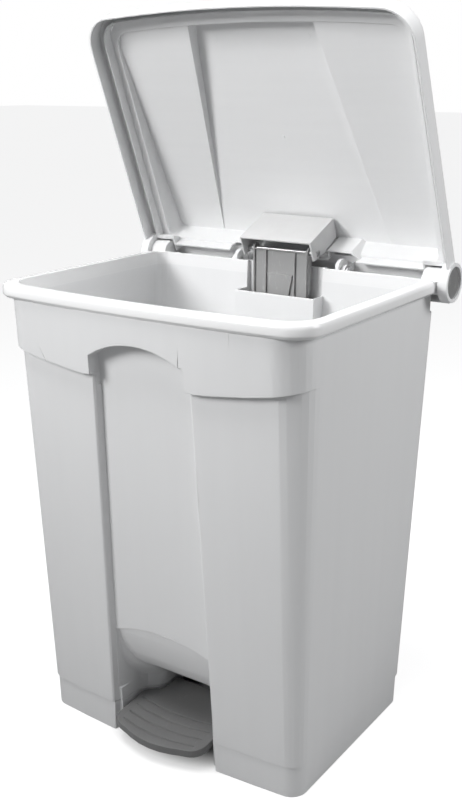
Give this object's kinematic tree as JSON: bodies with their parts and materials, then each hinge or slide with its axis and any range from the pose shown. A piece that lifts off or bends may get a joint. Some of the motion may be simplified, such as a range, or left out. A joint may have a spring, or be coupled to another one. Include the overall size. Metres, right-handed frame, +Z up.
{
  "type": "pedal bin",
  "caption": "Tall white plastic step-on waste bin with a domed hinged lid, a grey ribbed lift rod in a rear duct and a grey foot pedal set in a front well.",
  "frame": {"origin": "middle of the footprint, on the floor", "axes": "+X to the right seen from the front, +Y to the back, +Z up; the pedal and the open side of the lid face -Y"},
  "size_m": [0.509, 0.4124, 0.9869],
  "materials": {
    "body_plastic": "satin moulded white plastic, glossier on the rolled rim and inside",
    "lid_plastic": "satin moulded white plastic",
    "hood_plastic": "fine-grained light grey plastic",
    "grey_plastic": "satin mid grey plastic with draw marks",
    "cap_plastic": "satin grey plastic disc",
    "pedal_plastic": "grained dark grey plastic, scuffed on the tread",
    "plain_steel": "zinc plated sheet steel",
    "bracket_steel": "dark powder coat",
    "fastener_steel": "bright zinc plated steel"
  },
  "bodies": {
    "bin": {"bin_body": "body_plastic", "base_plinth": "body_plastic", "rear_cover": "body_plastic", "cover_screw_1": "fastener_steel", "cover_screw_2": "fastener_steel", "cover_screw_3": "fastener_steel", "cover_screw_4": "fastener_steel", "cover_screw_5": "fastener_steel", "cover_screw_6": "fastener_steel", "corner_hinge_pin_left": "fastener_steel", "corner_hinge_pin_right": "fastener_steel", "middle_hinge_pin_left": "fastener_steel", "middle_hinge_pin_right": "fastener_steel", "axle_bracket_left": "bracket_steel", "axle_bracket_right": "bracket_steel", "bracket_bolt_left": "fastener_steel", "bracket_bolt_right": "fastener_steel", "pedal_axle": "fastener_steel"},
    "lid": {"lid": "lid_plastic", "hinge_cap_left": "cap_plastic", "hinge_cap_right": "cap_plastic", "lid_hood": "hood_plastic", "lift_pin": "fastener_steel", "hood_screw_1": "fastener_steel", "hood_screw_2": "fastener_steel"},
    "rod": {"rod_head": "grey_plastic", "lift_rod": "plain_steel", "rod_rivet_1": "fastener_steel", "rod_rivet_2": "fastener_steel"},
    "pedal": {"pedal_plate": "pedal_plastic", "pedal_lever": "plain_steel", "lever_pin": "fastener_steel", "pedal_screw_1": "fastener_steel", "pedal_screw_2": "fastener_steel"}
  },
  "joints": [
    {"name": "lid_hinge", "type": "hinge", "parent": "bin", "child": "lid", "pos_m": [0, 0.16042, 0.6395], "axis": [1, 0, 0], "range_deg": [0, 66.6]},
    {"name": "rod_pivot", "type": "hinge", "parent": "lid", "child": "rod", "pos_m": [0, 0.13962, 0.6634], "axis": [1, 0, 0], "range_deg": [-66.6, 0]},
    {"name": "pedal_hinge", "type": "hinge", "parent": "bin", "child": "pedal", "pos_m": [0, -0.02, 0.048], "axis": [1, 0, 0], "range_deg": [-13.36, 0]}
  ],
  "couplings": [
    {"joint": "rod_pivot", "follows": "lid_hinge", "ratio": -1},
    {"joint": "pedal_hinge", "follows": "lid_hinge", "ratio": -0.2005}
  ]
}
